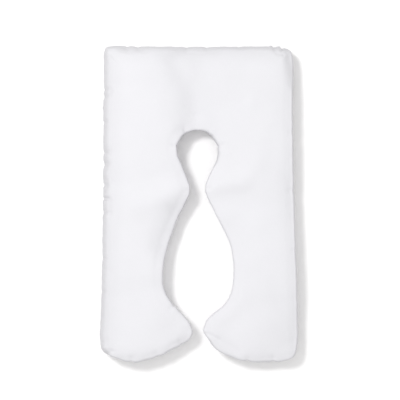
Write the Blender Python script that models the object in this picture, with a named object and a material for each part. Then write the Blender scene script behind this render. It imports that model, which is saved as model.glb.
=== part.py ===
"""A U-shaped body pillow, lying on its back: two cloth panels of one outline, sewn together round
the edge and filled.

Metres, +Z up. +Y points to the head end and +X to the right. The pillow lies on z = 0, and the
origin is under the middle of its box. Between the two legs a gap runs in from the foot end: a
mouth between the toes, a wide belly, a narrow neck and a round keyhole for the head.
"""

import math
from collections import namedtuple

import bmesh
import bpy
import numpy as np

# Sizes in metres. The seam and the crown are measured up from the surface the pillow lies on.
SEAM_HEIGHT = 0.075
CROWN_HEIGHT = 0.176
SEAM_LIP = 0.005           # how far the seam stands out of the filled side
SEAM_LIP_RISE = 0.004      # how far the panel rises or falls across that lip

# How far in from the seam the roundings reach. The full side takes up most of the rise, the crown
# the rest, and the underside comes down to the flat that the pillow lies on.
SIDE_REACH = 0.019
SIDE_SHARE = 0.83
CROWN_REACH = 0.140
UNDERSIDE_REACH = 0.050

# The mesh: rows of quads across a panel, and ribs between the foot end and the first section.
ROWS = 24
FOOT_RIBS = 7
FOOT_FADE = 0.32           # how far up the leg the curve of the foot's end is felt
CURVE_STEPS = 12           # straight steps from one key point of a seam to the next

CLOTH_COLOUR = (0.86, 0.86, 0.87, 1.0)
CLOTH_ROUGHNESS = 0.9
CREASE_ANGLE = math.radians(50.0)

# Sections across the pillow, from the left foot round the head to the right foot. Each joins a
# point of the inner seam, round the gap, to a point of the outer seam. ribs is how many ribs lead
# to the next section.
Section = namedtuple("Section", "inner_x inner_y outer_x outer_y ribs")
SECTIONS = [
    Section(-0.037, -0.603, -0.467, -0.690, FOOT_RIBS),   # left toe
    Section(-0.058, -0.556, -0.472, -0.632, 2),
    Section(-0.099, -0.512, -0.471, -0.580, 2),
    Section(-0.140, -0.463, -0.468, -0.520, 2),
    Section(-0.167, -0.415, -0.466, -0.450, 3),           # left ankle
    Section(-0.176, -0.345, -0.464, -0.365, 3),
    Section(-0.168, -0.265, -0.462, -0.275, 3),
    Section(-0.143, -0.176, -0.461, -0.180, 3),
    Section(-0.108, -0.082, -0.460, -0.080, 3),
    Section(-0.066,  0.010, -0.459,  0.010, 2),
    Section(-0.047,  0.064, -0.458,  0.066, 2),           # left of the neck
    Section(-0.059,  0.111, -0.458,  0.130, 3),
    Section(-0.087,  0.180, -0.457,  0.240, 3),
    Section(-0.109,  0.235, -0.457,  0.360, 3),
    Section(-0.106,  0.280, -0.456,  0.500, 3),
    Section(-0.092,  0.308, -0.454,  0.615, 3),
    Section(-0.080,  0.323, -0.452,  0.712, 2),           # left corner
    Section(-0.074,  0.328, -0.443,  0.741, 2),
    Section(-0.067,  0.332, -0.412,  0.748, 3),
    Section(-0.053,  0.340, -0.310,  0.750, 4),
    Section(-0.032,  0.348, -0.150,  0.750, 4),
    Section(-0.007,  0.350,  0.000,  0.750, 4),           # middle of the head end
    Section( 0.019,  0.346,  0.150,  0.750, 4),
    Section( 0.042,  0.335,  0.300,  0.749, 3),
    Section( 0.054,  0.325,  0.388,  0.745, 2),
    Section( 0.061,  0.318,  0.428,  0.730, 2),           # right corner
    Section( 0.067,  0.310,  0.446,  0.698, 3),
    Section( 0.079,  0.293,  0.449,  0.610, 3),
    Section( 0.089,  0.268,  0.446,  0.500, 3),
    Section( 0.092,  0.230,  0.447,  0.360, 3),
    Section( 0.074,  0.168,  0.449,  0.240, 3),
    Section( 0.048,  0.108,  0.451,  0.130, 2),
    Section( 0.037,  0.070,  0.453,  0.066, 2),           # right of the neck
    Section( 0.051,  0.022,  0.455,  0.015, 3),
    Section( 0.098, -0.078,  0.457, -0.078, 3),
    Section( 0.146, -0.176,  0.459, -0.180, 3),
    Section( 0.165, -0.262,  0.462, -0.275, 3),
    Section( 0.168, -0.340,  0.465, -0.365, 3),
    Section( 0.156, -0.425,  0.467, -0.450, 2),           # right ankle
    Section( 0.126, -0.480,  0.469, -0.520, 2),
    Section( 0.082, -0.517,  0.470, -0.580, 2),
    Section( 0.042, -0.556,  0.472, -0.632, FOOT_RIBS),
    Section( 0.027, -0.597,  0.466, -0.690, 0),           # right toe
]

# The seam at the end of each foot, from its toe to its outer corner.
SeamPoint = namedtuple("SeamPoint", "x y")
LEFT_FOOT_END = [
    SeamPoint(-0.037, -0.603),
    SeamPoint(-0.045, -0.636),
    SeamPoint(-0.075, -0.664),
    SeamPoint(-0.125, -0.690),
    SeamPoint(-0.185, -0.719),
    SeamPoint(-0.250, -0.740),
    SeamPoint(-0.320, -0.750),
    SeamPoint(-0.385, -0.740),
    SeamPoint(-0.438, -0.722),
    SeamPoint(-0.467, -0.690),
]
RIGHT_FOOT_END = [
    SeamPoint(0.027, -0.597),
    SeamPoint(0.044, -0.632),
    SeamPoint(0.074, -0.680),
    SeamPoint(0.122, -0.714),
    SeamPoint(0.182, -0.738),
    SeamPoint(0.250, -0.748),
    SeamPoint(0.330, -0.750),
    SeamPoint(0.400, -0.746),
    SeamPoint(0.446, -0.728),
    SeamPoint(0.466, -0.690),
]

# Soft ridges and troughs of the top panel. Each is a straight line from its start to its end, with
# a rounded height of lift that fades over width to either side and off both ends.
Fold = namedtuple("Fold", "start_x start_y end_x end_y width lift")
FOLDS = [
    Fold( 0.005,  0.690,  0.010,  0.430, 0.110, -0.024),   # valley down to the keyhole
    Fold(-0.120,  0.700,  0.080,  0.710, 0.050, -0.008),   # flatter head edge over it
    Fold(-0.215,  0.600, -0.205,  0.270, 0.130,  0.010),   # left shoulder
    Fold( 0.290,  0.560,  0.300,  0.230, 0.120,  0.010),   # right shoulder
    Fold( 0.440,  0.090,  0.445, -0.060, 0.050, -0.010),   # dip in the right side
    Fold(-0.075,  0.060, -0.300, -0.015, 0.040,  0.011),   # fold out from the neck, left
    Fold(-0.120,  0.130, -0.390,  0.090, 0.042, -0.006),   # trough over it
    Fold( 0.060,  0.080,  0.225,  0.105, 0.034,  0.012),   # fold out from the neck, right
    Fold( 0.130,  0.020,  0.360, -0.010, 0.050, -0.005),   # trough under it
    Fold(-0.130, -0.050, -0.190, -0.190, 0.060, -0.014),   # left thigh, thinner to the gap
    Fold(-0.255, -0.235, -0.245, -0.330, 0.075,  0.009),   # lump in the left thigh
    Fold(-0.240, -0.400, -0.380, -0.440, 0.060, -0.006),   # trough at the left ankle
    Fold(-0.280, -0.610, -0.275, -0.665, 0.060,  0.007),   # lump in the left foot
    Fold( 0.290, -0.250,  0.320, -0.400, 0.075,  0.005),   # lump in the right thigh
    Fold( 0.200, -0.520,  0.380, -0.470, 0.060, -0.006),   # trough at the right ankle
    Fold( 0.330, -0.690,  0.440, -0.600, 0.120, -0.014),   # right foot, thinner to its corner
    Fold(-0.090, -0.620, -0.110, -0.600, 0.080, -0.016),   # thinner left toe
    Fold( 0.080, -0.615,  0.110, -0.600, 0.080, -0.016),   # thinner right toe
]

# Where the seam hangs lower, at the corners: by drop, fading over width.
Droop = namedtuple("Droop", "x y width drop")
DROOPS = [
    Droop( 0.450,  0.750, 0.120, 0.026),   # right corner of the head end
    Droop(-0.450,  0.750, 0.110, 0.012),   # left corner of the head end
    Droop(-0.470, -0.730, 0.120, 0.016),   # left foot
    Droop( 0.470, -0.730, 0.110, 0.012),   # right foot
    Droop(-0.030, -0.620, 0.090, 0.010),   # left toe
    Droop( 0.025, -0.615, 0.090, 0.010),   # right toe
]


def smooth_curve(points, steps):
    """Points along a curve through all of points, evenly rounded (a centripetal Catmull-Rom)."""
    points = np.array(points, float)
    before = 2 * points[0] - points[1]
    after = 2 * points[-1] - points[-2]
    padded = np.vstack([before, points, after])
    curve = []
    for a, b, c, d in zip(padded, padded[1:], padded[2:], padded[3:]):
        gaps = [math.sqrt(np.linalg.norm(q - p)) for p, q in ((a, b), (b, c), (c, d))]
        t0, t1, t2, t3 = np.concatenate([[0.0], np.cumsum(gaps)])
        for t in np.linspace(t1, t2, steps, endpoint=False):
            ab = ((t1 - t) * a + (t - t0) * b) / (t1 - t0)
            bc = ((t2 - t) * b + (t - t1) * c) / (t2 - t1)
            cd = ((t3 - t) * c + (t - t2) * d) / (t3 - t2)
            left = ((t2 - t) * ab + (t - t0) * bc) / (t2 - t0)
            right = ((t3 - t) * bc + (t - t1) * cd) / (t3 - t1)
            curve.append(((t2 - t) * left + (t - t1) * right) / (t2 - t1))
    curve.append(points[-1])
    return np.array(curve)


def along(curve, shares):
    """The points at these shares of a curve's length."""
    steps = np.linalg.norm(np.diff(curve, axis=0), axis=1)
    length = np.concatenate([[0.0], np.cumsum(steps)])
    return np.stack([np.interp(shares, length / length[-1], c) for c in curve.T], axis=-1)


def rib_places():
    """Each rib's place, as a number of sections from the left foot. They crowd towards the feet."""
    places = []
    last = len(SECTIONS) - 2
    for i, section in enumerate(SECTIONS[:-1]):
        share = np.arange(section.ribs) / section.ribs
        if i == 0:
            share = 1 - np.cos(share * math.pi / 2)
        if i == last:
            share = np.sin(share * math.pi / 2)
        places.extend(i + share)
    places.append(last + 1)
    return np.array(places)


def row_shares():
    """Each row's share of the way from the inner to the outer seam. They crowd towards the seams."""
    return (1 - np.cos(np.linspace(0, math.pi, ROWS + 1))) / 2


def panel_plan():
    """The panel in plan, as an array of ribs, rows and x, y."""
    places = rib_places()
    at = np.linspace(0, len(SECTIONS) - 1, (len(SECTIONS) - 1) * CURVE_STEPS + 1)
    inner = smooth_curve([(s.inner_x, s.inner_y) for s in SECTIONS], CURVE_STEPS)
    outer = smooth_curve([(s.outer_x, s.outer_y) for s in SECTIONS], CURVE_STEPS)
    inner = np.stack([np.interp(places, at, c) for c in inner.T], axis=-1)
    outer = np.stack([np.interp(places, at, c) for c in outer.T], axis=-1)
    rows = row_shares()
    plan = inner[:, None] + rows[None, :, None] * (outer - inner)[:, None]
    middle = (inner + outer) / 2
    steps = np.linalg.norm(np.diff(middle, axis=0), axis=1)
    distance = np.concatenate([[0.0], np.cumsum(steps)])
    for end, from_end in ((LEFT_FOOT_END, distance), (RIGHT_FOOT_END, distance[-1] - distance)):
        curve = along(smooth_curve(end, CURVE_STEPS), rows)
        bulge = curve - (curve[0] + rows[:, None] * (curve[-1] - curve[0]))
        fade = np.clip(1 - from_end / FOOT_FADE, 0, 1) ** 2
        plan = plan + fade[:, None, None] * bulge[None]
    return plan


def distance_to_seam(places, seam):
    """How far each place lies from the seam, rounded where two stretches of it are as near.

    Each piece of the seam adds its length over the fourth power of its distance. Beside one
    straight seam the sum is half pi over the cube of the distance, which gives it back.
    """
    ahead = np.roll(seam, -1, axis=0)
    middles = (seam + ahead) / 2
    lengths = np.linalg.norm(ahead - seam, axis=1)
    squares = ((places[:, None] - middles[None]) ** 2).sum(axis=2)
    total = (lengths / np.maximum(squares, 1e-9) ** 2).sum(axis=1)
    nearest = np.sqrt(squares.min(axis=1))
    rounded = (2 / math.pi * total) ** (-1 / 3)
    return np.where(nearest < lengths.max(), np.minimum(rounded, nearest), rounded)


def swell(distance, reach):
    """A quarter of an ellipse: 0 at the seam, where it is upright, to 1 from reach on."""
    share = np.clip((distance - SEAM_LIP) / reach, 0, 1)
    return np.sqrt(1 - (1 - share) ** 2)


def lip(distance):
    return SEAM_LIP_RISE * np.clip(distance / SEAM_LIP, 0, 1)


def fold_lift(x, y):
    """What the soft ridges and troughs add to the top panel at x, y."""
    lift = np.zeros(len(x))
    for fold in FOLDS:
        run_x, run_y = fold.end_x - fold.start_x, fold.end_y - fold.start_y
        share = (x - fold.start_x) * run_x + (y - fold.start_y) * run_y
        share = np.clip(share / (run_x ** 2 + run_y ** 2), 0, 1)
        off_x = x - fold.start_x - share * run_x
        off_y = y - fold.start_y - share * run_y
        lift += fold.lift * np.exp(-(off_x ** 2 + off_y ** 2) / fold.width ** 2)
    return lift


def seam_level(x, y):
    """How high the seam lies at x, y: level, but lower at the corners."""
    level = np.full(len(x), SEAM_HEIGHT)
    for droop in DROOPS:
        squares = (x - droop.x) ** 2 + (y - droop.y) ** 2
        level -= droop.drop * np.exp(-squares / droop.width ** 2)
    return level


def body_pillow():
    """Both panels from one grid, laid out in plan, raised and lowered, and joined at the seam."""
    plan = panel_plan()
    ribs, rows = plan.shape[0] - 1, plan.shape[1] - 1
    seam = np.concatenate([plan[:, 0], plan[-1, 1:], plan[-2::-1, -1], plan[0, -2:0:-1]])
    flat = plan.reshape(-1, 2)
    distance = distance_to_seam(flat, seam)
    on_seam = np.zeros((ribs + 1, rows + 1), bool)
    on_seam[[0, -1], :] = True
    on_seam[:, [0, -1]] = True
    distance[on_seam.ravel()] = 0.0
    level = seam_level(*flat.T)
    over_lip = CROWN_HEIGHT + fold_lift(*flat.T) - level - SEAM_LIP_RISE
    side = swell(distance, SIDE_REACH)
    rise = SIDE_SHARE * side + (1 - SIDE_SHARE) * swell(distance, CROWN_REACH)
    top = level + lip(distance) + over_lip * rise
    under = (level - lip(distance)) * (1 - swell(distance, UNDERSIDE_REACH))

    bm = bmesh.new()
    bmesh.ops.create_grid(bm, x_segments=ribs, y_segments=rows, size=1.0)
    copied = bmesh.ops.duplicate(bm, geom=bm.verts[:] + bm.edges[:] + bm.faces[:])
    bottom_verts = {v for v in copied["geom"] if isinstance(v, bmesh.types.BMVert)}
    bottom_faces = [f for f in copied["geom"] if isinstance(f, bmesh.types.BMFace)]
    bmesh.ops.reverse_faces(bm, faces=bottom_faces)
    for vert in bm.verts:
        rib = round((vert.co.x + 1) / 2 * ribs)
        row = round((vert.co.y + 1) / 2 * rows)
        place = rib * (rows + 1) + row
        height = under if vert in bottom_verts else top
        vert.co = (*flat[place], height[place])
    bmesh.ops.remove_doubles(bm, verts=bm.verts[:], dist=1e-6)

    mesh = bpy.data.meshes.new("body_pillow")
    bm.to_mesh(mesh)
    bm.free()
    mesh.shade_smooth()
    mesh.set_sharp_from_angle(angle=CREASE_ANGLE)
    mesh.materials.append(white_cloth())
    pillow = bpy.data.objects.new("body_pillow", mesh)
    bpy.context.scene.collection.objects.link(pillow)
    return pillow


def white_cloth():
    material = bpy.data.materials.new("white_cloth")
    material.use_nodes = True
    shader = material.node_tree.nodes["Principled BSDF"]
    shader.inputs["Base Color"].default_value = CLOTH_COLOUR
    shader.inputs["Roughness"].default_value = CLOTH_ROUGHNESS
    shader.inputs["Metallic"].default_value = 0.0
    return material


for old in list(bpy.data.objects):
    bpy.data.objects.remove(old)
body_pillow()
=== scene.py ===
import math
from collections import namedtuple

import bmesh
import bpy
import numpy as np
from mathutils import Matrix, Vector, noise
from mathutils.bvhtree import BVHTree
from mathutils.kdtree import KDTree


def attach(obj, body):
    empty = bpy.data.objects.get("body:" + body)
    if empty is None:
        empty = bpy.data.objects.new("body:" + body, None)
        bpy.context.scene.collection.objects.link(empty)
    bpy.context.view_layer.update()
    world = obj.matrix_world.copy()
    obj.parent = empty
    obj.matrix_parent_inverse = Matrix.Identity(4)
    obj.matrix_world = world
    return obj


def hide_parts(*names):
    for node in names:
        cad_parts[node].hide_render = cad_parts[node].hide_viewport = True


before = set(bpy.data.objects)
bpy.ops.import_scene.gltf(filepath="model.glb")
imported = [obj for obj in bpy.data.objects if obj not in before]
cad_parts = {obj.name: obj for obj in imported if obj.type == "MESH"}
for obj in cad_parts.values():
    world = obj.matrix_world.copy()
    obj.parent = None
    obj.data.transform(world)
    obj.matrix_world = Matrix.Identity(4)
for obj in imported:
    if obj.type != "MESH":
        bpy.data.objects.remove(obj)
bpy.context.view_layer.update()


# ---------------------------------------------------------------------------------------------
# The case, cut out. Two panels of white cotton cloth with one outline: a long rectangle with
# rounded corners, and a gap up the middle that is shaped like a keyhole over a belly. Each row
# below is a line across the panel, from the seam round the gap to the seam round the outside.
# ---------------------------------------------------------------------------------------------
Section = namedtuple("Section", "inner_x inner_y outer_x outer_y ribs")
SECTIONS = [
    Section(-0.037, -0.603, -0.467, -0.690, 7),           # left toe
    Section(-0.058, -0.556, -0.472, -0.632, 2),
    Section(-0.099, -0.512, -0.471, -0.580, 2),
    Section(-0.140, -0.463, -0.468, -0.520, 2),
    Section(-0.167, -0.415, -0.466, -0.450, 3),           # left ankle
    Section(-0.176, -0.345, -0.464, -0.365, 3),
    Section(-0.168, -0.265, -0.462, -0.275, 3),
    Section(-0.143, -0.176, -0.461, -0.180, 3),
    Section(-0.108, -0.082, -0.460, -0.080, 3),
    Section(-0.066,  0.010, -0.459,  0.010, 2),
    Section(-0.047,  0.064, -0.458,  0.066, 2),           # left of the neck
    Section(-0.059,  0.111, -0.458,  0.130, 3),
    Section(-0.087,  0.180, -0.457,  0.240, 3),
    Section(-0.109,  0.235, -0.457,  0.360, 3),
    Section(-0.106,  0.280, -0.456,  0.500, 3),
    Section(-0.092,  0.308, -0.454,  0.615, 3),
    Section(-0.080,  0.323, -0.452,  0.712, 2),           # left corner
    Section(-0.074,  0.328, -0.443,  0.741, 2),
    Section(-0.067,  0.332, -0.412,  0.748, 3),
    Section(-0.053,  0.340, -0.310,  0.750, 4),
    Section(-0.032,  0.348, -0.150,  0.750, 4),
    Section(-0.007,  0.350,  0.000,  0.750, 4),           # middle of the head end
    Section( 0.019,  0.346,  0.150,  0.750, 4),
    Section( 0.042,  0.335,  0.300,  0.749, 3),
    Section( 0.054,  0.325,  0.388,  0.745, 2),
    Section( 0.061,  0.318,  0.428,  0.730, 2),           # right corner
    Section( 0.067,  0.310,  0.446,  0.698, 3),
    Section( 0.079,  0.293,  0.449,  0.610, 3),
    Section( 0.089,  0.268,  0.446,  0.500, 3),
    Section( 0.092,  0.230,  0.447,  0.360, 3),
    Section( 0.074,  0.168,  0.449,  0.240, 3),
    Section( 0.048,  0.108,  0.451,  0.130, 2),
    Section( 0.037,  0.070,  0.453,  0.066, 2),           # right of the neck
    Section( 0.051,  0.022,  0.455,  0.015, 3),
    Section( 0.098, -0.078,  0.457, -0.078, 3),
    Section( 0.146, -0.176,  0.459, -0.180, 3),
    Section( 0.165, -0.262,  0.462, -0.275, 3),
    Section( 0.168, -0.340,  0.465, -0.365, 3),
    Section( 0.156, -0.425,  0.467, -0.450, 2),           # right ankle
    Section( 0.126, -0.480,  0.469, -0.520, 2),
    Section( 0.082, -0.517,  0.470, -0.580, 2),
    Section( 0.042, -0.556,  0.472, -0.632, 7),
    Section( 0.027, -0.597,  0.466, -0.690, 0),           # right toe
]

# The seam at the end of each foot, from its toe to its outer corner.
SeamPoint = namedtuple("SeamPoint", "x y")
LEFT_FOOT_END = [
    SeamPoint(-0.037, -0.603),
    SeamPoint(-0.045, -0.636),
    SeamPoint(-0.075, -0.664),
    SeamPoint(-0.125, -0.690),
    SeamPoint(-0.185, -0.719),
    SeamPoint(-0.250, -0.740),
    SeamPoint(-0.320, -0.750),
    SeamPoint(-0.385, -0.740),
    SeamPoint(-0.438, -0.722),
    SeamPoint(-0.467, -0.690),
]
RIGHT_FOOT_END = [
    SeamPoint(0.027, -0.597),
    SeamPoint(0.044, -0.632),
    SeamPoint(0.074, -0.680),
    SeamPoint(0.122, -0.714),
    SeamPoint(0.182, -0.738),
    SeamPoint(0.250, -0.748),
    SeamPoint(0.330, -0.750),
    SeamPoint(0.400, -0.746),
    SeamPoint(0.446, -0.728),
    SeamPoint(0.466, -0.690),
]

RIBS_TO_ONE = 2            # ribs of this finer cloth to each one that a section asks for
ROWS = 48                  # quads across the panel
ROW_CROWDING = 0.75        # 0 for even rows, towards 1 for rows that crowd to the seams
FOOT_FADE = 0.32           # how far up the leg the curve of the foot's end is felt
CURVE_STEPS = 12           # straight steps from one key point of a seam to the next


def smooth_curve(points):
    """Points along an evenly rounded curve through all of points (centripetal Catmull-Rom)."""
    points = np.array(points, float)
    padded = np.vstack([2 * points[0] - points[1], points, 2 * points[-1] - points[-2]])
    curve = []
    for a, b, c, d in zip(padded, padded[1:], padded[2:], padded[3:]):
        gaps = [math.sqrt(np.linalg.norm(q - p)) for p, q in ((a, b), (b, c), (c, d))]
        t0, t1, t2, t3 = np.concatenate([[0.0], np.cumsum(gaps)])
        for t in np.linspace(t1, t2, CURVE_STEPS, endpoint=False):
            ab = ((t1 - t) * a + (t - t0) * b) / (t1 - t0)
            bc = ((t2 - t) * b + (t - t1) * c) / (t2 - t1)
            cd = ((t3 - t) * c + (t - t2) * d) / (t3 - t2)
            left = ((t2 - t) * ab + (t - t0) * bc) / (t2 - t0)
            right = ((t3 - t) * bc + (t - t1) * cd) / (t3 - t1)
            curve.append(((t2 - t) * left + (t - t1) * right) / (t2 - t1))
    curve.append(points[-1])
    return np.array(curve)


def along(curve, shares):
    """The points at these shares of a curve's length."""
    steps = np.linalg.norm(np.diff(curve, axis=0), axis=1)
    length = np.concatenate([[0.0], np.cumsum(steps)])
    return np.stack([np.interp(shares, length / length[-1], c) for c in curve.T], axis=-1)


def rib_places():
    """Each rib's place, as a number of sections from the left foot. They crowd at the feet."""
    places = []
    last = len(SECTIONS) - 2
    for i, section in enumerate(SECTIONS[:-1]):
        ribs = section.ribs * RIBS_TO_ONE
        share = np.arange(ribs) / ribs
        if i == 0:
            share = 1 - np.cos(share * math.pi / 2)
        if i == last:
            share = np.sin(share * math.pi / 2)
        places.extend(i + share)
    places.append(last + 1)
    return np.array(places)


def cut_panel():
    """The panel in plan, as an array of ribs, rows and x, y."""
    places = rib_places()
    at = np.linspace(0, len(SECTIONS) - 1, (len(SECTIONS) - 1) * CURVE_STEPS + 1)
    inner = smooth_curve([(s.inner_x, s.inner_y) for s in SECTIONS])
    outer = smooth_curve([(s.outer_x, s.outer_y) for s in SECTIONS])
    inner = np.stack([np.interp(places, at, c) for c in inner.T], axis=-1)
    outer = np.stack([np.interp(places, at, c) for c in outer.T], axis=-1)
    even = np.linspace(0, 1, ROWS + 1)
    rows = even - ROW_CROWDING * np.sin(2 * math.pi * even) / (2 * math.pi)
    plan = inner[:, None] + rows[None, :, None] * (outer - inner)[:, None]
    middle = (inner + outer) / 2
    steps = np.linalg.norm(np.diff(middle, axis=0), axis=1)
    distance = np.concatenate([[0.0], np.cumsum(steps)])
    for end, from_end in ((LEFT_FOOT_END, distance), (RIGHT_FOOT_END, distance[-1] - distance)):
        curve = along(smooth_curve(end), rows)
        bulge = curve - (curve[0] + rows[:, None] * (curve[-1] - curve[0]))
        fade = np.clip(1 - from_end / FOOT_FADE, 0, 1) ** 2
        plan = plan + fade[:, None, None] * bulge[None]
    return plan


plan = cut_panel()
RIBS = plan.shape[0] - 1
flat = plan.reshape(-1, 2)
on_seam = np.zeros((RIBS + 1, ROWS + 1), bool)
on_seam[[0, -1], :] = True
on_seam[:, [0, -1]] = True
on_seam = on_seam.ravel()
seam_plan = np.concatenate([plan[:, 0], plan[-1, 1:], plan[-2::-1, -1], plan[0, -2:0:-1]])


# The seam as a line of even small steps, and the way into the panel from each of its points.
SEAM_STEP = 0.002
SEAM_RUN = 3               # the seam's direction is read from this many steps either way
closed = np.vstack([seam_plan, seam_plan[:1]])
seam_length = np.linalg.norm(np.diff(closed, axis=0), axis=1).sum()
seam_line = along(closed, np.arange(0, 1, SEAM_STEP / seam_length))
seam_run = np.roll(seam_line, -SEAM_RUN, axis=0) - np.roll(seam_line, SEAM_RUN, axis=0)
seam_inward = np.stack([-seam_run[:, 1], seam_run[:, 0]], axis=-1)
seam_inward /= np.linalg.norm(seam_inward, axis=1, keepdims=True)
seam_tree = KDTree(len(seam_line))
for i, (seam_x, seam_y) in enumerate(seam_line):
    seam_tree.insert((seam_x, seam_y, 0.0), i)
seam_tree.balance()


def nearest_on_seam(places):
    """For each place, the number of the nearest seam point, and how far off it is."""
    found = [seam_tree.find((*place, 0.0))[1:] for place in places]
    number, distance = zip(*found)
    return np.array(number), np.array(distance)


# ---------------------------------------------------------------------------------------------
# The case, sewn and filled. The panels are sewn face to face, turned, and filled with fibre. They
# start on the pillow's solid: the top panel over the seam, the bottom panel under it, flat where
# it lies. The filling then presses the cloth out, held at the seam and where it lies.
# ---------------------------------------------------------------------------------------------
SEAM_HEIGHT = 0.075
SIDE_REACH = 0.019         # how far in from the seam the solid's side rises
SIDE_SHARE = 0.83          # its part of the rise: the crown gives the rest
CROWN_REACH = 0.140
LOOK_IN = 0.030            # how far in from the seam the solid's height is read for the side
FULL_REACH = 0.010         # the same for the cloth, which the filling fills out further
FULL_SHARE = 0.95
FULL_POWER = 3.0           # 2 for a round shoulder, more for a squarer one
SLACK_REACH = 0.026        # where the cloth is slack, its shoulder is rounder
SLACK_POWER = 2.0
SLACK_FROM_X = -0.42       # it is slack down the left side and along the head end
SLACK_FROM_Y = 0.72
SIDE_FADE = 0.02           # and grows so over this far
GAP_REACH_X = 0.28         # a seam point nearer the middle than this, and between these two
GAP_FROM_Y = -0.66         # heights up the pillow, is one round the gap
GAP_TO_Y = 0.6
HOLE_SLACK = 0.3           # the cloth is a little slack too round the right of the hole
HOLE_SLACK_X = 0.0
HOLE_SLACK_Y = 0.16
GAP_FADE = 0.04
LEAN = 0.004               # how far the top panel's side leans out over the seam
LEAN_IN_GAP = 0.012        # and how far round the gap
LEAN_START = 0.0015
LEAN_REACH = 0.020
LIES_UNDER = 0.0005        # cloth lower than this lies on the floor, and is held there
LEVELLINGS = 6             # rounds of smoothing in height, which take out the facets of the solid
PRESSURE = 4.0
EASE = 0.015               # how much longer and wider the cloth is than what it covers
SWELL_FRAMES = 20
MOST_SWELL = 0.005         # how far up the filling may press the cloth
SWELL_FROM = 0.045         # and from how far in from the seam, in full
GIVE = 0.3                 # the share of a move inwards that the filling allows
MOST_SPREAD = 0.008        # how far out over the seam it may press the top panel
MOST_SPREAD_UNDER = 0.002
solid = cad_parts["body_pillow"]
solid_tree = BVHTree.FromObject(solid, bpy.context.evaluated_depsgraph_get())


def solid_heights(direction, places):
    """The height of the solid over or under each of the places, seen from far along z."""
    heights = []
    for x, y in places:
        hit = solid_tree.ray_cast(Vector((x, y, -direction)), Vector((0, 0, direction)))[0]
        if hit is None:
            hit = solid_tree.find_nearest(Vector((x, y, SEAM_HEIGHT)))[0]
        heights.append(hit.z)
    return np.array(heights)


def swell(distance, reach, power=2.0):
    """A quarter of an ellipse: 0 at the seam, 1 from reach inwards."""
    return (1 - np.clip(1 - distance / reach, 0, 1) ** power) ** (1 / power)


def laid_out(heights):
    """Each place of the panel as it is laid in the plane, in metres of cloth.

    Across and along the panel, what the cloth takes to climb is added to its plan, from the
    middle of the panel outwards.
    """
    shape = np.dstack([plan, heights.reshape(RIBS + 1, ROWS + 1)])
    cloth = plan.copy()
    for axis in (0, 1):
        steps = np.diff(shape, axis=axis)
        run = np.linalg.norm(steps[..., :2], axis=2, keepdims=True)
        extra = np.linalg.norm(steps, axis=2, keepdims=True) - run
        gain = np.cumsum(extra * steps[..., :2] / np.maximum(run, 1e-9), axis=axis)
        gain = np.insert(gain, 0, 0.0, axis=axis)
        cloth += gain - np.take(gain, [gain.shape[axis] // 2], axis=axis)
    return cloth.reshape(-1, 2)


def sides_of(nearest):
    """For these seam points, how slack the side is there, and whether it goes round the gap."""
    near_x, near_y = nearest.T
    past_slack_line = np.maximum(SLACK_FROM_X - near_x, near_y - SLACK_FROM_Y)
    slack = np.clip(past_slack_line / SIDE_FADE, 0, 1)
    past_hole_line = np.minimum(near_x - HOLE_SLACK_X, near_y - HOLE_SLACK_Y)
    hole_slack = np.clip(past_hole_line / GAP_FADE, 0, 1) * (near_y < GAP_TO_Y) * (near_x < GAP_REACH_X)
    slack = np.maximum(slack, HOLE_SLACK * hole_slack)
    round_gap = np.clip((GAP_REACH_X - abs(near_x)) / GAP_FADE, 0, 1) * (near_y < GAP_TO_Y)
    return slack, round_gap * np.clip((near_y - GAP_FROM_Y) / GAP_FADE, 0, 1)


seam_number, seam_distance = nearest_on_seam(flat)
seam_heights = np.array([
    solid_tree.find_nearest(Vector((seam_x, seam_y, SEAM_HEIGHT)))[0].z
    for seam_x, seam_y in seam_line
])
base = seam_heights[seam_number]
look_in = np.maximum(LOOK_IN - seam_distance, 0)
looked_at = flat + seam_inward[seam_number] * look_in[:, None]
side_rise = SIDE_SHARE * swell(seam_distance + look_in, SIDE_REACH)
side_rise += (1 - SIDE_SHARE) * swell(seam_distance + look_in, CROWN_REACH)
slack, round_gap = sides_of(seam_line[seam_number])
reach = FULL_REACH + (SLACK_REACH - FULL_REACH) * slack
power = FULL_POWER + (SLACK_POWER - FULL_POWER) * slack
full_rise = FULL_SHARE * swell(seam_distance, reach, power)
full_rise += (1 - FULL_SHARE) * swell(seam_distance, CROWN_REACH)
lean = (LEAN * (1 - round_gap) + LEAN_IN_GAP * round_gap) * (1 - slack)
lean *= 1 - np.exp(-(seam_distance / LEAN_START) ** 2)
lean *= np.exp(-(seam_distance / LEAN_REACH) ** 2)
top_plan = flat - seam_inward[seam_number] * lean[:, None]
top = base + (solid_heights(-1.0, looked_at) - base) / side_rise * full_rise
under = solid_heights(1.0, flat)
under[on_seam] = base[on_seam]
top[on_seam] = base[on_seam]
top_cloth = laid_out(top)
under_cloth = laid_out(under)


def nearest_seam_point(co):
    return Vector(seam_line[seam_tree.find((co.x, co.y, 0.0))[1]])


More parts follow.
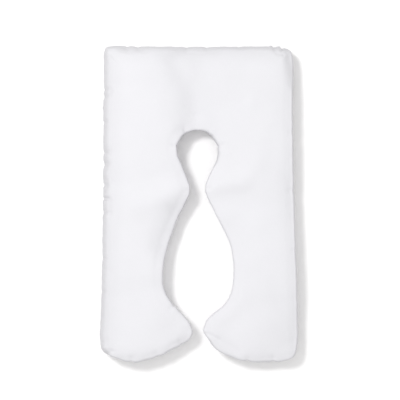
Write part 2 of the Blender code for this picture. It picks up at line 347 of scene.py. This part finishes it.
bm = bmesh.new()
held = bm.verts.layers.float.new("held")
placed = bm.verts.layers.float_vector.new("place")
uv = bm.loops.layers.uv.new("cloth")
bmesh.ops.create_grid(bm, x_segments=RIBS, y_segments=ROWS, size=1.0)
copied = bmesh.ops.duplicate(bm, geom=bm.verts[:] + bm.edges[:] + bm.faces[:])
under_verts = {v for v in copied["geom"] if isinstance(v, bmesh.types.BMVert)}
under_faces = [f for f in copied["geom"] if isinstance(f, bmesh.types.BMFace)]
bmesh.ops.reverse_faces(bm, faces=under_faces)
for vert in bm.verts:
    rib = round((vert.co.x + 1) / 2 * RIBS)
    row = round((vert.co.y + 1) / 2 * ROWS)
    place = rib * (ROWS + 1) + row
    below = vert in under_verts
    height = under[place] if below else top[place]
    for loop in vert.link_loops:
        loop[uv].uv = (under_cloth if below else top_cloth)[place]
    vert.co = (*(flat if below else top_plan)[place], max(height, 0.0))
    vert[held] = 1.0 if on_seam[place] or vert.co.z < LIES_UNDER else 0.0
    panel = 0.0 if on_seam[place] else -1.0 if below else 1.0
    vert[placed] = (*flat[place], panel)
bmesh.ops.remove_doubles(bm, verts=bm.verts[:], dist=1e-6)
free = [v for v in bm.verts if v[held] < 0.5]
inner = [v for v in free if (v.co.xy - nearest_seam_point(v.co)).length > FULL_REACH * 2]
for _ in range(LEVELLINGS):
    bmesh.ops.smooth_vert(bm, verts=inner, factor=0.5, use_axis_z=True)
case_mesh = bpy.data.meshes.new("pillow_case")
bm.to_mesh(case_mesh)
bm.free()
case = bpy.data.objects.new("pillow_case", case_mesh)
bpy.context.scene.collection.objects.link(case)


def points_of(mesh):
    """The points of a mesh, as an array of x, y, z."""
    points = np.empty(len(mesh.vertices) * 3)
    mesh.vertices.foreach_get("co", points)
    return points.reshape(-1, 3)


def normals_of(mesh):
    """The way out of the cloth at each point."""
    normals = np.empty(len(mesh.vertices) * 3)
    mesh.vertices.foreach_get("normal", normals)
    return normals.reshape(-1, 3)


def places_of(mesh):
    """Each point's place on the panel in plan, and its panel: 1 top, -1 bottom, 0 the seam."""
    places = np.empty(len(mesh.vertices) * 3)
    mesh.attributes["place"].data.foreach_get("vector", places)
    return places.reshape(-1, 3)


def held_points_of(mesh):
    """The numbers of the points that the simulation holds."""
    held_values = np.empty(len(mesh.vertices))
    mesh.attributes["held"].data.foreach_get("value", held_values)
    return np.flatnonzero(held_values > 0.5)


def soft_cap(moves, most):
    """Moves, each cut to less than most, and hardly changed where it is far below it."""
    size = np.linalg.norm(moves, axis=1, keepdims=True)
    return moves * most * np.tanh(size / most) / np.maximum(size, 1e-9)


def swell_case():
    """Presses the cloth out by a cloth simulation, and keeps what it gives in the mesh."""
    start = points_of(case_mesh)
    group = case.vertex_groups.new(name="held")
    group.add(held_points_of(case_mesh).tolist(), 1.0, "REPLACE")
    cloth = case.modifiers.new("cloth", "CLOTH")
    cloth.settings.quality = 5
    cloth.settings.mass = 0.2
    cloth.settings.tension_stiffness = 15.0
    cloth.settings.compression_stiffness = 15.0
    cloth.settings.shear_stiffness = 5.0
    cloth.settings.bending_stiffness = 0.3
    cloth.settings.vertex_group_mass = "held"
    cloth.settings.shrink_min = -EASE
    cloth.settings.use_pressure = True
    cloth.settings.uniform_pressure_force = PRESSURE
    cloth.settings.effector_weights.gravity = 0.0
    cloth.collision_settings.use_collision = False
    cloth.collision_settings.use_self_collision = False
    cloth.point_cache.frame_start = 1
    cloth.point_cache.frame_end = SWELL_FRAMES
    for frame_number in range(1, SWELL_FRAMES + 1):
        bpy.context.scene.frame_set(frame_number)
    graph = bpy.context.evaluated_depsgraph_get()
    moves = points_of(case.evaluated_get(graph).data) - start
    normals = normals_of(case_mesh)
    outwards = np.sum(moves * normals, axis=1, keepdims=True)
    moves -= normals * np.minimum(outwards, 0) * (1 - GIVE)
    case.modifiers.remove(cloth)
    case.vertex_groups.remove(group)
    bpy.context.scene.frame_set(1)
    places = places_of(case_mesh)
    below = places[:, 2] < 0
    moves[below, :2] = soft_cap(moves[below, :2], MOST_SPREAD_UNDER)
    moves[~below, :2] = soft_cap(moves[~below, :2], MOST_SPREAD)
    moves[:, 2:] = soft_cap(moves[:, 2:], MOST_SWELL)
    off_seam = nearest_on_seam(places[:, :2])[1]
    moves[~below, 2] *= np.clip(off_seam[~below] / SWELL_FROM, 0, 1)
    case_mesh.vertices.foreach_set("co", (start + moves).ravel())
    case_mesh.update()


swell_case()


# ---------------------------------------------------------------------------------------------
# The case, creased. Folds run in from the neck and the corners, the seam draws the cloth up into
# short puckers, and the fibre under it lies in soft lumps.
# ---------------------------------------------------------------------------------------------
# A soft ridge or trough of the top panel, along a line from its start to its end.
Fold = namedtuple("Fold", "start_x start_y end_x end_y width lift")
FOLD_RISE = 0.080          # a fold comes in up the side, and is whole this far over the seam
FOLDS = [
    Fold(-0.350,  0.738, -0.270,  0.738, 0.022, -0.014),   # dips in the head edge
    Fold(-0.080,  0.735,  0.075,  0.735, 0.030, -0.014),
    Fold(-0.120,  0.660, -0.090,  0.600, 0.045, -0.009),   # hollow beside the valley
    Fold(-0.045,  0.540, -0.020,  0.420, 0.050, -0.009),
    Fold(-0.060,  0.680,  0.060,  0.640, 0.060, -0.006),
    Fold(-0.016,  0.421, -0.009,  0.412, 0.009, -0.0015),  # dimple over the keyhole
    Fold( 0.250,  0.480,  0.252,  0.470, 0.030,  0.004),   # lumps in the right shoulder
    Fold( 0.290,  0.300,  0.280,  0.200, 0.060,  0.005),
    Fold( 0.436,  0.730,  0.466,  0.560, 0.028, -0.027),   # right corner, fallen away
    Fold( 0.340,  0.745,  0.380,  0.705, 0.007, -0.005),   # creases into the right corner
    Fold( 0.365,  0.746,  0.402,  0.700, 0.007, -0.004),
    Fold(-0.455,  0.650, -0.462, -0.650, 0.026, -0.008),   # softer left side
    Fold(-0.448,  0.520, -0.425,  0.520, 0.016, -0.010),   # creases in the left side
    Fold(-0.425,  0.560, -0.385,  0.555, 0.020, -0.004),
    Fold(-0.448,  0.250, -0.446,  0.165, 0.016, -0.010),
    Fold(-0.450,  0.105, -0.448,  0.060, 0.014, -0.010),
    Fold(-0.452,  0.022, -0.436,  0.022, 0.010, -0.012),
    Fold(-0.435, -0.005, -0.430, -0.055, 0.025, -0.007),
    Fold( 0.115,  0.290,  0.140,  0.288, 0.007,  0.0015),  # creases from the keyhole, right
    Fold( 0.100,  0.243,  0.150,  0.232, 0.012,  0.0020),
    Fold(-0.130, -0.200, -0.030,  0.060, 0.070, -0.018),   # the left leg falls away to the gap
    Fold(-0.050,  0.345,  0.040,  0.348, 0.050, -0.012),   # and the head end to the hole
    Fold( 0.060,  0.065,  0.200,  0.092, 0.046,  0.003),   # fuller under the neck, right
    Fold( 0.400, -0.720,  0.470, -0.580, 0.100, -0.014),   # right foot, slack at its corner
    Fold( 0.045, -0.612,  0.095, -0.640, 0.010, -0.004),   # crease and hollow in the right toe
    Fold( 0.105, -0.650,  0.175, -0.690, 0.026, -0.006),
    Fold(-0.075, -0.660, -0.055, -0.640, 0.035, -0.008),   # hollow in the left toe
]

# A short draw of the seam, which runs reach into the panel. One of less than no depth stands out.
Pucker = namedtuple("Pucker", "x y reach width depth")
PUCKER_FULL = 0.4          # the share of its reach over which it is whole, and then fades
PUCKERS = [
    Pucker(-0.460,  0.540, 0.050, 0.010,  0.006),   # left side
    Pucker(-0.460,  0.505, 0.045, 0.009,  0.006),
    Pucker(-0.460,  0.458, 0.016, 0.006, -0.006),   # a tuft that stands out
    Pucker(-0.460,  0.385, 0.030, 0.008,  0.005),
    Pucker(-0.460,  0.240, 0.050, 0.010,  0.006),
    Pucker(-0.460,  0.185, 0.045, 0.012,  0.006),
    Pucker(-0.460,  0.085, 0.040, 0.010,  0.006),
    Pucker(-0.460,  0.022, 0.030, 0.006,  0.007),
    Pucker(-0.460, -0.045, 0.050, 0.012,  0.005),
    Pucker(-0.465, -0.260, 0.035, 0.012,  0.003),
    Pucker(-0.465, -0.420, 0.030, 0.010,  0.003),
    Pucker(-0.340,  0.750, 0.030, 0.010,  0.005),   # head end
    Pucker(-0.290,  0.750, 0.035, 0.010,  0.005),
    Pucker(-0.060,  0.750, 0.040, 0.012,  0.005),
    Pucker( 0.035,  0.750, 0.035, 0.012,  0.005),
    Pucker( 0.190,  0.750, 0.025, 0.010,  0.003),
    Pucker( 0.342,  0.750, 0.014, 0.005, -0.005),   # two tufts at the right corner
    Pucker( 0.356,  0.750, 0.030, 0.006,  0.006),
    Pucker( 0.380,  0.748, 0.014, 0.005, -0.005),
    Pucker( 0.395,  0.745, 0.030, 0.006,  0.006),
    Pucker( 0.455,  0.330, 0.030, 0.010,  0.003),   # right side
    Pucker( 0.455,  0.060, 0.040, 0.014,  0.004),
    Pucker( 0.460, -0.220, 0.030, 0.012,  0.003),
    Pucker(-0.060,  0.330, 0.030, 0.008,  0.004),   # round the keyhole
    Pucker(-0.105,  0.270, 0.030, 0.008,  0.004),
    Pucker( 0.060,  0.318, 0.030, 0.012,  0.002),
    Pucker( 0.088,  0.270, 0.030, 0.008,  0.004),
    Pucker(-0.047,  0.060, 0.035, 0.010,  0.004),   # neck
    Pucker( 0.037,  0.070, 0.035, 0.010,  0.004),
    Pucker(-0.125, -0.490, 0.030, 0.008,  0.004),   # left ankle
    Pucker(-0.320, -0.750, 0.045, 0.012,  0.005),   # left foot
    Pucker(-0.200, -0.722, 0.045, 0.012,  0.005),
    Pucker(-0.080, -0.668, 0.040, 0.010,  0.004),
    Pucker( 0.230, -0.745, 0.035, 0.009,  0.005),   # right foot
    Pucker( 0.350, -0.750, 0.045, 0.012,  0.005),
]

# A stretch along the seam where the whole side is drawn in.
Tuck = namedtuple("Tuck", "x y width depth")
TUCKS = [
    Tuck(-0.200,  0.750, 0.180, 0.004),
    Tuck( 0.150,  0.750, 0.180, 0.004),
    Tuck(-0.405, -0.718, 0.060, 0.008),
    Tuck( 0.150, -0.735, 0.050, 0.006),
]

# A round place of the top panel with painted shade: its colour is made a little greyer there, where
# the folds and lights give too little shade. It changes colour, not shape.
ShadePatch = namedtuple("ShadePatch", "x y reach grey")
SHADE_PATCHES = [
    ShadePatch( 0.080,  0.620, 0.260, 0.030),
    ShadePatch(-0.010,  0.500, 0.090, 0.020),
    ShadePatch(-0.240,  0.600, 0.100, 0.012),
    ShadePatch( 0.430, -0.660, 0.080, 0.035),
    ShadePatch( 0.100, -0.680, 0.060, 0.025),
    ShadePatch( 0.400,  0.000, 0.120, 0.015),
    ShadePatch(-0.130, -0.020, 0.060, 0.015),
    ShadePatch(-0.086,  0.050, 0.035, 0.025),
    ShadePatch(-0.118, -0.040, 0.035, 0.030),
    ShadePatch(-0.140, -0.120, 0.035, 0.030),
    ShadePatch(-0.172, -0.220, 0.035, 0.025),
    ShadePatch( 0.125, -0.090, 0.050, 0.025),
]
RIPPLE_DEPTH = 0.0015      # the small unevenness that sewing leaves all along the seam
RIPPLE_LENGTH = 0.030
FINE_RIPPLE_SHARE = 0.6
FINE_RIPPLE_LENGTH = RIPPLE_LENGTH / 2.3
RIPPLE_REACH = 0.035
RIPPLE_FULL = 0.3          # the share of its reach over which it is whole
RIPPLE_FADE = 0.5
LUMP_HEIGHT = 0.0012       # the filling's own unevenness
LUMP_LENGTH = 0.070
LUMP_FROM = 0.04           # how far in from the seam it is whole
RESTS_UNDER = 0.0015       # the bottom panel keeps flat where it is lower than this
SEAM_SHADE = 0.035          # painted shade: how much greyer a full side is made, and how far in
SEAM_SHADE_REACH = 0.085
SLACK_SHADE = 0.045         # painted shade at a slack side, and more again close to its edge
SLACK_SHADE_REACH = 0.110
EDGE_SHADE = 0.040
EDGE_SHADE_REACH = 0.030

subdivision = case.modifiers.new("subdivision", "SUBSURF")
subdivision.levels = 1
subdivision.render_levels = 1
graph = bpy.context.evaluated_depsgraph_get()
fine_mesh = bpy.data.meshes.new_from_object(case.evaluated_get(graph))
case.modifiers.remove(subdivision)
case.data = fine_mesh
bpy.data.meshes.remove(case_mesh)
fine_mesh.name = "pillow_case"
fine_mesh.shade_smooth()

points = points_of(fine_mesh)
normals = normals_of(fine_mesh)
places = places_of(fine_mesh)
x, y, side = places.T
on_top = np.clip(side, 0, 1)
seam_number, seam_distance = nearest_on_seam(places[:, :2])
over_seam = points[:, 2] - seam_heights[seam_number]


def fold_lift():
    """What the soft ridges and troughs add to the top panel."""
    lift = np.zeros(len(x))
    for fold in FOLDS:
        run_x, run_y = fold.end_x - fold.start_x, fold.end_y - fold.start_y
        share = (x - fold.start_x) * run_x + (y - fold.start_y) * run_y
        share = np.clip(share / (run_x ** 2 + run_y ** 2), 0, 1)
        off_x = x - fold.start_x - share * run_x
        off_y = y - fold.start_y - share * run_y
        lift += fold.lift * np.exp(-(off_x ** 2 + off_y ** 2) / fold.width ** 2)
    return lift * np.clip(over_seam / FOLD_RISE, 0, 1) * on_top


def off_along_seam(near_x, near_y):
    """How far along the seam each point's nearest seam point is from this one."""
    number, _ = nearest_on_seam([(near_x, near_y)])
    off = np.abs(seam_number - number)
    return np.minimum(off, len(seam_line) - off) * SEAM_STEP


def pucker_depth():
    """How far the seam draws the cloth in, square to its face."""
    depth = np.zeros(len(x))
    for pucker in PUCKERS:
        off = off_along_seam(pucker.x, pucker.y)
        past_full = np.maximum(seam_distance / pucker.reach - PUCKER_FULL, 0)
        fade = np.exp(-(past_full / PUCKER_FULL) ** 2)
        depth += pucker.depth * np.exp(-(off / pucker.width) ** 2) * fade
    return depth


def side_moves():
    """The tucks, and the small unevenness of the sewing: they move the side in and out, level."""
    ripple = []
    for along_seam in np.arange(len(seam_line)) * SEAM_STEP:
        coarse = noise.noise(Vector((along_seam / RIPPLE_LENGTH, 0.5, 0.5)))
        fine = noise.noise(Vector((along_seam / FINE_RIPPLE_LENGTH, 7.5, 0.5)))
        ripple.append(coarse + FINE_RIPPLE_SHARE * fine)
    depth = RIPPLE_DEPTH * np.array(ripple)[seam_number]
    for tuck in TUCKS:
        depth += tuck.depth * np.exp(-(off_along_seam(tuck.x, tuck.y) / tuck.width) ** 2)
    past_full = np.maximum(seam_distance / RIPPLE_REACH - RIPPLE_FULL, 0)
    depth *= np.exp(-(past_full / RIPPLE_FADE) ** 2)
    moves = np.zeros((len(depth), 3))
    moves[:, :2] = seam_inward[seam_number] * depth[:, None]
    return moves


def painted_shade():
    """How much painted shade greys each point's cloth, as a share of its brightness."""
    slack, round_gap = sides_of(seam_line[seam_number])
    grey = SEAM_SHADE * np.clip(1 - seam_distance / SEAM_SHADE_REACH, 0, 1) * (1 - round_gap)
    grey += SLACK_SHADE * np.clip(1 - seam_distance / SLACK_SHADE_REACH, 0, 1) * slack
    grey += EDGE_SHADE * np.clip(1 - seam_distance / EDGE_SHADE_REACH, 0, 1) * slack
    for shade_patch in SHADE_PATCHES:
        off = np.hypot(x - shade_patch.x, y - shade_patch.y) / shade_patch.reach
        grey += shade_patch.grey * np.exp(-off ** 2) * on_top
    return grey


lumps = np.array([
    noise.noise(Vector((place_x / LUMP_LENGTH, place_y / LUMP_LENGTH, 3.5)))
    for place_x, place_y in zip(x, y)
])
resting = (side < 0) & (points[:, 2] < RESTS_UNDER)
lift = fold_lift() + LUMP_HEIGHT * lumps * on_top * np.clip(seam_distance / LUMP_FROM, 0, 1)
moved = points - normals * pucker_depth()[:, None] + side_moves()
moved[:, 2] += lift
moved[resting] = points[resting]
moved[:, 2] = np.maximum(moved[:, 2], 0.0)
fine_mesh.vertices.foreach_set("co", moved.ravel())
fine_mesh.update()
# The painted shade, kept on the points as a factor on the cloth's colour.
painted_shade_factor = fine_mesh.attributes.new("painted_shade_factor", "FLOAT", "POINT")
painted_shade_factor.data.foreach_set("value", 1 - painted_shade())
# How far each point is from the seam's line, for the painted shade in its groove.
from_seam_groove = fine_mesh.attributes.new("from_seam_groove", "FLOAT", "POINT")
from_seam_groove.data.foreach_set("value", np.hypot(seam_distance, over_seam))

# Its cotton is a fine plain weave with uneven yarns. Its colour carries painted shade: a little
# greyer where the panel nears its seam, and a dark line of painted shade in the groove where the
# two panels meet. The weave follows the cloth's own UV map.
WARP_COLOR = (0.762, 0.757, 0.782, 1.0)
WEFT_COLOR = (0.752, 0.749, 0.775, 1.0)
# The colour of the painted shade in the groove where the two panels meet.
GROOVE_SHADE_COLOR = (0.55, 0.55, 0.57, 1.0)
YARN_PITCH = 0.0006
GROOVE_SHADE_INNER = 0.0003      # the groove's painted shade is whole up to here, and fades out by the next
GROOVE_SHADE_OUTER = 0.0015
GROOVE_SHADE_SHARE = 0.5
cotton = bpy.data.materials.new("white_cotton")
cotton.use_nodes = True
shader = cotton.node_tree.nodes["Principled BSDF"]
shader.inputs["Sheen Weight"].default_value = 0.06
shader.inputs["Sheen Roughness"].default_value = 0.4
shader.inputs["Specular IOR Level"].default_value = 0.2


def cotton_node(kind, operation=None, **inputs):
    """A new node of the cotton: an input is a value, or the output of another node."""
    node = cotton.node_tree.nodes.new(kind)
    if operation:
        node.operation = operation
    for name, value in inputs.items():
        name = int(name[1:]) if name[1:].isdigit() else name.replace("_", " ")
        if isinstance(value, bpy.types.NodeSocket):
            cotton.node_tree.links.new(value, node.inputs[name])
        else:
            node.inputs[name].default_value = value
    return node


def mixed_color(share, first, second, blend="MIX"):
    """The two colours, blended by share."""
    node = cotton_node("ShaderNodeMix")
    node.data_type = "RGBA"
    node.blend_type = blend
    for socket, value in ((node.inputs[0], share), (node.inputs[6], first), (node.inputs[7], second)):
        if isinstance(value, bpy.types.NodeSocket):
            cotton.node_tree.links.new(value, socket)
        else:
            socket.default_value = value
    return node.outputs[2]


def stretch(value, low, high, to_low, to_high):
    """A value moved from one range to another, and held inside it."""
    node = cotton_node(
        "ShaderNodeMapRange", Value=value,
        From_Min=low, From_Max=high, To_Min=to_low, To_Max=to_high,
    )
    return node.outputs[0]


uv_node = cotton_node("ShaderNodeUVMap")
uv_node.uv_map = "cloth"
cloth_place = uv_node.outputs["UV"]
yarns = cotton_node("ShaderNodeVectorMath", "SCALE", Vector=cloth_place, Scale=1 / YARN_PITCH)
yarn_place = cotton_node("ShaderNodeSeparateXYZ", Vector=yarns.outputs[0])
half_turns = [
    cotton_node("ShaderNodeMath", "MULTIPLY", _0=yarn_place.outputs[i], _1=math.pi).outputs[0]
    for i in (0, 1)
]
across = [cotton_node("ShaderNodeMath", "SINE", _0=angle).outputs[0] for angle in half_turns]
over_under = cotton_node("ShaderNodeMath", "MULTIPLY", _0=across[0], _1=across[1]).outputs[0]
on_warp = stretch(over_under, -0.2, 0.2, 0.0, 1.0)
yarn_height = cotton_node("ShaderNodeMath", "ABSOLUTE", _0=over_under).outputs[0]

slubs = cotton_node(
    "ShaderNodeTexNoise", Scale=1.0, Detail=2.0,
    Vector=cotton_node("ShaderNodeMapping", Vector=cloth_place, Scale=(900.0, 45.0, 1.0)).outputs[0],
).outputs["Fac"]
shades = cotton_node("ShaderNodeTexNoise", Vector=cloth_place, Scale=5.0, Detail=3.0).outputs["Fac"]
creases = cotton_node(
    "ShaderNodeTexNoise", Vector=cloth_place, Scale=28.0, Detail=4.0, Distortion=0.6,
).outputs["Fac"]
# The painted shade, read from the points.
shade_node = cotton_node("ShaderNodeAttribute")
shade_node.attribute_name = "painted_shade_factor"
groove_node = cotton_node("ShaderNodeAttribute")
groove_node.attribute_name = "from_seam_groove"

woven = mixed_color(on_warp, WEFT_COLOR, WARP_COLOR)
# The yarns' own random tone, times the painted shade.
shade = cotton_node(
    "ShaderNodeMath", "ADD",
    _0=stretch(slubs, 0.3, 0.7, -0.012, 0.012),
    _1=stretch(shades, 0.3, 0.7, 0.988, 1.006),
).outputs[0]
shade = cotton_node("ShaderNodeMath", "MULTIPLY", _0=shade, _1=shade_node.outputs["Fac"]).outputs[0]
shade_color = cotton_node("ShaderNodeCombineColor", Red=shade, Green=shade, Blue=shade).outputs[0]
toned_and_shaded = mixed_color(1.0, woven, shade_color, "MULTIPLY")
# A dark line of painted shade in the groove where the two panels meet.
groove_shade_share = stretch(groove_node.outputs["Fac"], GROOVE_SHADE_INNER, GROOVE_SHADE_OUTER, GROOVE_SHADE_SHARE, 0.0)
groove_shaded = mixed_color(groove_shade_share, toned_and_shaded, GROOVE_SHADE_COLOR)
roughness = stretch(slubs, 0.3, 0.7, 0.82, 0.92)
cotton.node_tree.links.new(groove_shaded, shader.inputs["Base Color"])
cotton.node_tree.links.new(roughness, shader.inputs["Roughness"])

weave_bump = cotton_node("ShaderNodeBump", Height=yarn_height, Strength=0.35, Distance=0.00012)
slub_bump = cotton_node(
    "ShaderNodeBump", Height=slubs, Strength=0.3, Distance=0.0002, Normal=weave_bump.outputs[0],
)
crease_bump = cotton_node(
    "ShaderNodeBump", Height=creases, Strength=0.35, Distance=0.0012, Normal=slub_bump.outputs[0],
)
cotton.node_tree.links.new(crease_bump.outputs[0], shader.inputs["Normal"])
fine_mesh.materials.append(cotton)

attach(case, "root")
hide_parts("body_pillow")


# ---------------------------------------------------------------------------------------------
# The studio: a white floor, a soft light from the upper left, a larger one overhead, and an even
# white fill. Each light's strength is the brightness that it alone would give a white floor.
# ---------------------------------------------------------------------------------------------
FLOOR_SIZE = 14.0
bm = bmesh.new()
bmesh.ops.create_grid(bm, x_segments=1, y_segments=1, size=FLOOR_SIZE / 2)
floor_mesh = bpy.data.meshes.new("floor")
bm.to_mesh(floor_mesh)
bm.free()
floor = bpy.data.objects.new("floor", floor_mesh)
bpy.context.scene.collection.objects.link(floor)
paper = bpy.data.materials.new("white_paper")
paper.use_nodes = True
paper_shader = paper.node_tree.nodes["Principled BSDF"]
paper_shader.inputs["Base Color"].default_value = (0.982, 0.976, 0.972, 1.0)
paper_shader.inputs["Roughness"].default_value = 1.0
paper_shader.inputs["Specular IOR Level"].default_value = 0.0
floor_mesh.materials.append(paper)

world = bpy.data.worlds.new("white_studio")
world.use_nodes = True
world.node_tree.nodes["Background"].inputs["Color"].default_value = (1.0, 1.0, 1.0, 1.0)
world.node_tree.nodes["Background"].inputs["Strength"].default_value = 0.55
bpy.context.scene.world = world


def soft_light(name, strength, size, location):
    """A round soft light that faces the middle of the floor."""
    light = bpy.data.lights.new(name, "AREA")
    light.shape = "DISK"
    light.size = size
    light.energy = strength * math.pi ** 2 * (location.length ** 2 + (size / 2) ** 2)
    lamp = bpy.data.objects.new(name, light)
    bpy.context.scene.collection.objects.link(lamp)
    lamp.rotation_mode = "QUATERNION"
    lamp.rotation_quaternion = location.to_track_quat("Z", "Y")
    lamp.location = location
    lamp.visible_camera = False


KEY_AZIMUTH = math.radians(138.0)      # from +X towards +Y
KEY_ELEVATION = math.radians(67.0)
KEY_DISTANCE = 8.0
towards = Vector((
    math.cos(KEY_AZIMUTH) * math.cos(KEY_ELEVATION),
    math.sin(KEY_AZIMUTH) * math.cos(KEY_ELEVATION),
    math.sin(KEY_ELEVATION),
))
soft_light("key", 0.40, 1.4, towards * KEY_DISTANCE)
soft_light("overhead", 0.25, 8.0, Vector((0.0, 0.0, 8.0)))

# The camera looks straight down from over the middle of the pillow.
VIEW_WIDTH = 1.906                     # across the picture, at the height of the seam
VIEW_X = 0.0046
VIEW_Y = 0.0153
camera_data = bpy.data.cameras.new("camera")
camera_data.lens = 135.0
camera_data.sensor_width = 36.0
camera = bpy.data.objects.new("camera", camera_data)
bpy.context.scene.collection.objects.link(camera)
view_distance = VIEW_WIDTH * camera_data.lens / camera_data.sensor_width
camera.location = (VIEW_X, VIEW_Y, SEAM_HEIGHT + view_distance)
bpy.context.scene.camera = camera
bpy.context.scene.view_settings.view_transform = "Standard"
bpy.context.scene.view_settings.look = "None"
